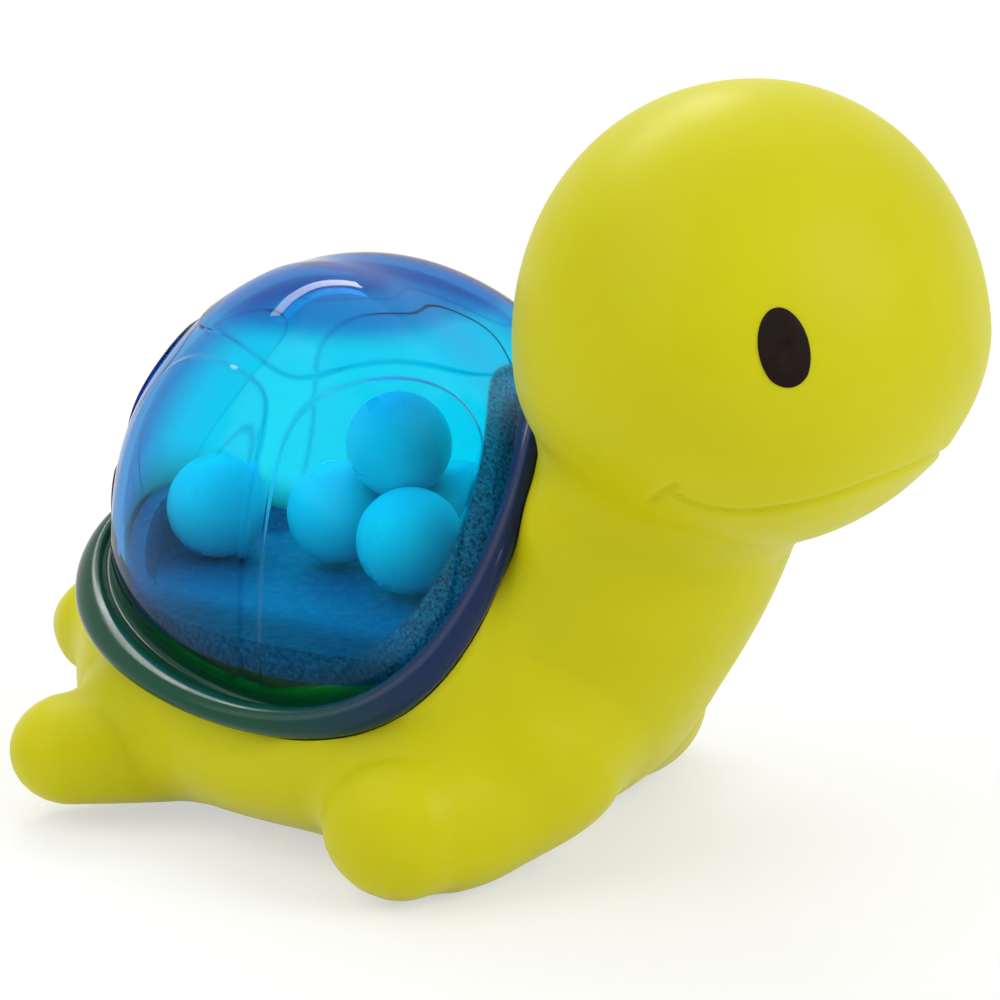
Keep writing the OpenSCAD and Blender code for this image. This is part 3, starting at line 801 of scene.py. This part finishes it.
def dome_material():
    mat, tree, s = new_material("clear_blue")
    facing = add_node(tree, "LayerWeight", {"Blend": 0.5}).outputs["Facing"]
    deep = ramp(tree, facing, BLACK, WHITE, *EDGE_TURN)
    # Painted shade: the crown and the plates' borders take on the deeper blue
    for part in (along(tree, "Z", *CROWN_Z, BLACK, (CROWN_SHADE,) * 3),
                 ramp(tree, attribute(tree, "line"), BLACK, (BORDER_SHADE,) * 3, 0.0, 1.0)):
        deep = compute(tree, "MAXIMUM", deep, part)
    clear = ramp(tree, noise(tree, 30, 2), (0.88, 0.985, 0.995), (0.93, 0.99, 1.0))
    paint(tree, s, mix_colours(tree, deep, clear, DEEP_BLUE),
          span(tree, noise(tree, 220, 3), 0.02, 0.05),
          {"Transmission Weight": 1.0, "IOR": 1.17, "Specular IOR Level": 0.12})
    bump(tree, s, noise(tree, 90, 2), 0.00006, 0.4)
    # The thick rolled rim looks denser. Its colour is painted light and shade: green for the
    # lit vinyl seen through it, navy for the seat's shade at the neck
    rim = add_node(tree, "BsdfPrincipled")
    paint(tree, rim, along(tree, "X", *RIM_X, RIM_LIT_GREEN, RIM_SHADE_NAVY),
          span(tree, noise(tree, 150, 3), 0.12, 0.2),
          {"Transmission Weight": 0.35, "IOR": 1.4, "Specular IOR Level": 0.15})
    # Frosted strip: grained dark blue plastic
    grain = noise(tree, 2200, 3, 0.7)
    frosted = add_node(tree, "BsdfPrincipled")
    paint(tree, frosted, ramp(tree, grain, (0.0, 0.05, 0.14), (0.0, 0.42, 0.66), 0.40, 0.68),
          span(tree, grain, 0.25, 0.45),
          {"Transmission Weight": 0.45, "IOR": 1.4, "Specular IOR Level": 0.15})
    bump(tree, frosted, grain, 0.0002, 0.9)
    look = mix_shaders(tree, attribute(tree, "rim"), s.outputs[0], rim.outputs[0])
    look = mix_shaders(tree, attribute(tree, "frost"), look, frosted.outputs[0])
    depth = [-math.log(share) for share in WALL_PASS]
    absorb = add_node(tree, "VolumeAbsorption", {
        "Density": max(depth) / (DOME_T * MM), "Color": (*[1 - d / max(depth) for d in depth], 1)})
    show(tree, look, absorb.outputs[0])
    return mat


# Tray: its floor darkens to purple over this part of the half width, its walls from
# blue to purple along X, and a face is floor where its normal's Z passes this band.
# The darkening is painted shade on the floor's edges and the front and side walls, and
# its purple is also the real tint of thick blue plastic. Floor and walls are painted as
# lit and shaded copies of the one plastic.
FLOOR_SHADE_Y, WALL_SHADE_X, LEVEL_Z = (18, 24), (-32, -16), (0.55, 0.85)


def tray_material():
    mat, tree, s = new_material("tray_blue")
    grain = noise(tree, 1500, 4, 0.7)
    # Painted shade: the floor turns dark purple towards its edges
    level = mix_colours(tree, along(tree, "Y", *FLOOR_SHADE_Y, BLACK, WHITE),
                        ramp(tree, grain, (0.006, 0.11, 0.26), (0.030, 0.20, 0.38)),
                        ramp(tree, grain, (0.030, 0.012, 0.07), (0.090, 0.035, 0.15)))
    # Painted shade: the front and side walls turn dark purple
    upright = mix_colours(tree, along(tree, "X", *WALL_SHADE_X, BLACK, WHITE),
                          ramp(tree, grain, (0.01, 0.15, 0.33), (0.04, 0.28, 0.50)),
                          ramp(tree, grain, (0.035, 0.030, 0.085), (0.14, 0.16, 0.30), 0.4, 0.72))
    normal = add_node(tree, "NewGeometry").outputs["Normal"]
    up = add_node(tree, "SeparateXYZ", {0: normal}).outputs["Z"]
    # Upright faces take the wall colours and level faces the floor's: painted light and shade by
    # the way a face turns
    paint(tree, s, mix_colours(tree, stretch(tree, up, *LEVEL_Z), upright, level),
          span(tree, noise(tree, 700, 3), 0.30, 0.55))
    bump(tree, s, grain, 0.0003, 0.8)
    return mat


def seen_ray(tree):
    """1 for the rays that show the backdrop: camera, glossy and transmission rays."""
    path = add_node(tree, "LightPath")
    found = path.outputs["Is Camera Ray"]
    for kind in ("Is Glossy Ray", "Is Transmission Ray"):
        found = compute(tree, "MAXIMUM", found, path.outputs[kind])
    return found


# The floor's share of white near the toy, and the distances in metres over which it
# turns all white
FLOOR_GLOW, FLOOR_FADE = 0.55, (0.08, 0.18)


def floor_material():
    """Pale floor that holds the shadow near the toy and fades to a white backdrop."""
    mat, tree, s = new_material("floor")
    paint(tree, s, ramp(tree, noise(tree, 6, 3), (0.95,) * 3, (0.97,) * 3), 0.6,
          {"Specular IOR Level": 0.15})
    away = add_node(tree, "VectorMath", {0: toy_place(tree)}, operation="LENGTH").outputs["Value"]
    white = stretch(tree, away, *FLOOR_FADE, FLOOR_GLOW)
    share = compute(tree, "MULTIPLY", white, seen_ray(tree))
    glow = add_node(tree, "Emission", {"Strength": 1.0})
    show(tree, mix_shaders(tree, share, s.outputs[0], glow.outputs[0]))
    return mat


def dress(obj, mat, body=ROOT):
    obj.data.materials.clear()
    obj.data.materials.append(mat)
    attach(obj, body)


def dress_node(node, mat):
    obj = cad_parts[node]
    for place in obj.material_slots:
        place.material = mat


# Pieces
vinyl = plain_material(
    "vinyl", ((45, 4), (0.560, 0.532, 0.003), (0.600, 0.572, 0.007)), ((160, 4), 0.36, 0.46),
    ((1400, 3), 0.00004, 0.5),
    {"Subsurface Weight": 0.12, "Subsurface Radius": (0.004, 0.0035, 0.0006),
     "Subsurface Scale": 0.6, "Specular IOR Level": 0.12})
clear, tray_blue = dome_material(), tray_material()
ball_blue = plain_material(
    "ball_blue", ((60, 3), (0.44, 0.74, 0.83), (0.49, 0.79, 0.88)), ((300, 3), 0.25, 0.38),
    ((500, 2), 0.00003, 0.5))
ink = plain_material(
    "eye_ink", ((500, 4), (0.007, 0.003, 0.002), (0.014, 0.007, 0.005)), ((900, 3), 0.5, 0.7),
    ((2500, 3), 0.00003, 0.5), {"Specular IOR Level": 0.1})
white = plain_material(
    "white_plastic", ((80, 3), (0.80, 0.80, 0.77), (0.86, 0.86, 0.84)), ((400, 3), 0.3, 0.45),
    ((1200, 3), 0.00003, 0.4))
brass = plain_material(
    "reed_brass", ((900, 4), (0.72, 0.52, 0.20), (0.80, 0.62, 0.28)), ((2000, 3), 0.25, 0.45),
    ((3000, 2), 0.00001, 0.5), {"Metallic": 1.0})
dress(build_body(), vinyl)
dress(build_dome(), clear)
dress(build_tray(), tray_blue)
dress(build_eye(1, "ink_eye_left", "eye_left"), ink)
dress(build_eye(-1, "ink_eye_right", "eye_right"), ink)
for number in range(1, 6):
    dress_node("rattle_ball_%d" % number, ball_blue)
for node in ("squeaker_barrel", "squeaker_trough", "squeaker_cap"):
    dress_node(node, white)
dress_node("squeaker_reed", brass)


# Floor, world, lamps and camera
def build_floor():
    bpy.ops.mesh.primitive_plane_add(size=60)
    floor = bpy.context.object
    floor.name = "floor"
    floor.data.materials.append(floor_material())


SOFT_LIGHT, FULL_WHITE = 0.36, 1.0


def build_world():
    """Soft light on the toy, and white where the backdrop shows."""
    world = bpy.data.worlds.new("studio")
    bpy.context.scene.world = world
    world.use_nodes = True
    tree = world.node_tree
    tree.nodes.clear()
    soft, backdrop = [add_node(tree, "Background", {"Strength": strength, "Color": (1, 1, 1, 1)})
                      for strength in (SOFT_LIGHT, FULL_WHITE)]
    sky = mix_shaders(tree, seen_ray(tree), soft.outputs[0], backdrop.outputs[0])
    add_node(tree, "OutputWorld", {"Surface": sky})


def aim(obj, target):
    obj.rotation_euler = (Vector(target) - obj.location).to_track_quat("-Z", "Y").to_euler()


def lamp(name, place, target, size, watts):
    light = bpy.data.lights.new(name, "AREA")
    light.energy, light.size = watts, size
    obj = bpy.data.objects.new(name, light)
    obj.location = place
    aim(obj, target)
    bpy.context.scene.collection.objects.link(obj)
    return obj


def strip_lamp(first, last, target, width, watts):
    """Long narrow lamp between two ends, for the curved streak on the dome."""
    first, last = Vector(first), Vector(last)
    obj = lamp("strip", (first + last) / 2, target, (last - first).length, watts)
    obj.data.shape, obj.data.size_y = "RECTANGLE", width
    run = (last - first).normalized()
    back = obj.location - Vector(target)
    back = (back - run * back.dot(run)).normalized()
    obj.rotation_euler = Matrix((run, back.cross(run), back)).transposed().to_euler()


# Camera: the point it looks at, the way from there to it, and its distance in metres
TARGET = Vector((0.01288, 0.0, 0.03772))
TOWARD = Vector((0.5540, -0.7912, 0.2588)).normalized()
DISTANCE = 0.4324


def build_camera():
    cam = bpy.data.cameras.new("camera")
    cam.lens, cam.sensor_width = 118.44, 36.0
    cam.shift_x, cam.shift_y = 0.06, 0.03
    cam.clip_start, cam.clip_end = 0.01, 20
    obj = bpy.data.objects.new("camera", cam)
    obj.location = TARGET + TOWARD * DISTANCE
    aim(obj, TARGET)
    bpy.context.scene.collection.objects.link(obj)
    bpy.context.scene.camera = obj


build_floor()
build_world()
# Each lamp: place, target and size in metres, and watts. The strip has two ends and a
# width instead of a place and a size.
lamp("key", (-0.45, -0.85, 0.95), (0, 0, 0.04), 1.2, 7.0)
lamp("fill", (0.98, 0.08, 0.62), (0, 0, 0.05), 0.6, 5.0)
lamp("top", (0.0, 0.15, 0.95), (0, 0, 0.04), 1.1, 3.2)
strip_lamp((-0.57, 0.04, 0.68), (-0.285, 0.545, 0.535), (0, 0, 0.07), 0.07, 1.7)
build_camera()
bpy.context.scene.view_settings.view_transform = "Standard"
